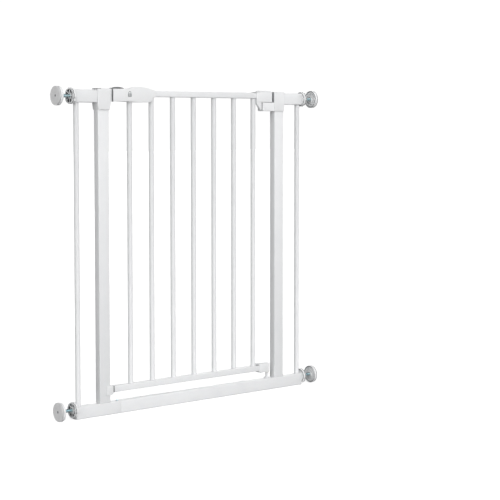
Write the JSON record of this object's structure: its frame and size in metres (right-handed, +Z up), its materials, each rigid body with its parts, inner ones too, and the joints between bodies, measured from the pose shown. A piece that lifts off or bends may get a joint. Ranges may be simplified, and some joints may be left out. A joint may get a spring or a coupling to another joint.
{
  "type": "safety baby gate",
  "caption": "Pressure-fit metal doorway gate: U frame, lift-and-swing barred leaf, thumb-slide lock handle, hinge pins, and a screw-out cup with hand nut at each corner.",
  "frame": {"origin": "on the floor, midway between the two wall pads' faces and in the gate's mid-plane", "axes": "+X along the gate from the latch post to the hinge post, +Y to the back, +Z up"},
  "size_m": [0.796, 0.045, 0.7782],
  "materials": {
    "white_powder_coat": "satin white powder coat",
    "white_plastic": "satin moulded white plastic",
    "dark_grey_plastic": "satin dark grey plastic",
    "grey_rubber": "matt grey rubber",
    "zinc_plated_steel": "bright blue-zinc plating",
    "natural_nylon": "natural nylon"
  },
  "bodies": {
    "frame": {"bottom_keeper": "white_plastic", "bottom_rail": "white_powder_coat", "bottom_rail_left": "white_powder_coat", "hinge_bracket": "white_plastic", "latch_post_cap": "white_plastic", "left_post": "white_powder_coat", "lower_hinge_pin": "white_powder_coat", "rail_joiner": "zinc_plated_steel", "rail_joiner_pin": "zinc_plated_steel", "right_post": "white_powder_coat", "side_bar_left": "white_powder_coat", "side_bar_right": "white_powder_coat", "top_stub_left": "white_powder_coat", "top_stub_right": "white_powder_coat", "tube_plug_bottom_left": "white_plastic", "tube_plug_bottom_right": "white_plastic", "tube_plug_top_left": "white_plastic", "tube_plug_top_right": "white_plastic", "upper_hinge_pin": "zinc_plated_steel"},
    "hinge_bushes": {"upper_hinge_bush": "natural_nylon", "lower_hinge_bush": "natural_nylon"},
    "leaf": {"elbow_screw": "zinc_plated_steel", "handle_front_cover": "white_plastic", "handle_rear_body": "white_plastic", "handle_screw_left": "zinc_plated_steel", "handle_screw_right": "zinc_plated_steel", "hinge_block_lid": "white_plastic", "leaf_bar_1": "white_powder_coat", "leaf_bar_2": "white_powder_coat", "leaf_bar_3": "white_powder_coat", "leaf_bar_4": "white_powder_coat", "leaf_bar_5": "white_powder_coat", "leaf_bar_6": "white_powder_coat", "leaf_bar_7": "white_powder_coat", "leaf_bottom_rail": "white_powder_coat", "leaf_top_rail": "white_powder_coat", "lock_end_plate": "dark_grey_plastic", "lower_hinge_elbow": "white_plastic", "rail_end_cap": "dark_grey_plastic", "slider_spring": "zinc_plated_steel", "spring_stop": "dark_grey_plastic", "upper_hinge_block": "white_plastic"},
    "slider": {"lock_bolt": "dark_grey_plastic", "thumb_slider": "dark_grey_plastic"},
    "nut_bottom_left": {"adjusting_nut_bottom_left": "white_plastic"},
    "spindle_bottom_left": {"spindle_bottom_left": "zinc_plated_steel", "wall_cup_bottom_left": "white_plastic", "wall_pad_bottom_left": "grey_rubber"},
    "nut_bottom_right": {"adjusting_nut_bottom_right": "white_plastic"},
    "spindle_bottom_right": {"spindle_bottom_right": "zinc_plated_steel", "wall_cup_bottom_right": "white_plastic", "wall_pad_bottom_right": "grey_rubber"},
    "nut_top_left": {"adjusting_nut_top_left": "white_plastic"},
    "spindle_top_left": {"spindle_top_left": "zinc_plated_steel", "wall_cup_top_left": "white_plastic", "wall_pad_top_left": "grey_rubber"},
    "nut_top_right": {"adjusting_nut_top_right": "white_plastic"},
    "spindle_top_right": {"spindle_top_right": "zinc_plated_steel", "wall_cup_top_right": "white_plastic", "wall_pad_top_right": "grey_rubber"}
  },
  "joints": [
    {"name": "leaf_swing", "type": "hinge", "parent": "frame", "child": "hinge_bushes", "pos_m": [0.239, 0, 0.745], "axis": [0, 0, 1], "range_deg": [-90, 90]},
    {"name": "leaf_lift", "type": "slide", "parent": "hinge_bushes", "child": "leaf", "axis": [0, 0, 1], "range_m": [0, 0.014]},
    {"name": "slider_slide", "type": "slide", "parent": "leaf", "child": "slider", "axis": [1, 0, 0], "range_m": [0, 0.008], "stiffness_N_per_m": 400, "springref_m": -0.008},
    {"name": "nut_turn_bottom_left", "type": "hinge", "parent": "frame", "child": "nut_bottom_left", "pos_m": [-0.3523, 0, 0.0225], "axis": [-1, 0, 0], "range_deg": [-6624, 576]},
    {"name": "spindle_slide_bottom_left", "type": "slide", "parent": "frame", "child": "spindle_bottom_left", "axis": [-1, 0, 0], "range_m": [-0.023, 0.002]},
    {"name": "nut_turn_bottom_right", "type": "hinge", "parent": "frame", "child": "nut_bottom_right", "pos_m": [0.3523, 0, 0.0225], "axis": [1, 0, 0], "range_deg": [-6624, 576]},
    {"name": "spindle_slide_bottom_right", "type": "slide", "parent": "frame", "child": "spindle_bottom_right", "axis": [1, 0, 0], "range_m": [-0.023, 0.002]},
    {"name": "nut_turn_top_left", "type": "hinge", "parent": "frame", "child": "nut_top_left", "pos_m": [-0.3523, 0, 0.755], "axis": [-1, 0, 0], "range_deg": [-6624, 576]},
    {"name": "spindle_slide_top_left", "type": "slide", "parent": "frame", "child": "spindle_top_left", "axis": [-1, 0, 0], "range_m": [-0.023, 0.002]},
    {"name": "nut_turn_top_right", "type": "hinge", "parent": "frame", "child": "nut_top_right", "pos_m": [0.3523, 0, 0.755], "axis": [1, 0, 0], "range_deg": [-6624, 576]},
    {"name": "spindle_slide_top_right", "type": "slide", "parent": "frame", "child": "spindle_top_right", "axis": [1, 0, 0], "range_m": [-0.023, 0.002]}
  ],
  "couplings": [
    {"joint": "nut_turn_bottom_left", "follows": "spindle_slide_bottom_left", "rad_per_m": 5026.5},
    {"joint": "nut_turn_bottom_right", "follows": "spindle_slide_bottom_right", "rad_per_m": 5026.5},
    {"joint": "nut_turn_top_left", "follows": "spindle_slide_top_left", "rad_per_m": 5026.5},
    {"joint": "nut_turn_top_right", "follows": "spindle_slide_top_right", "rad_per_m": 5026.5}
  ]
}
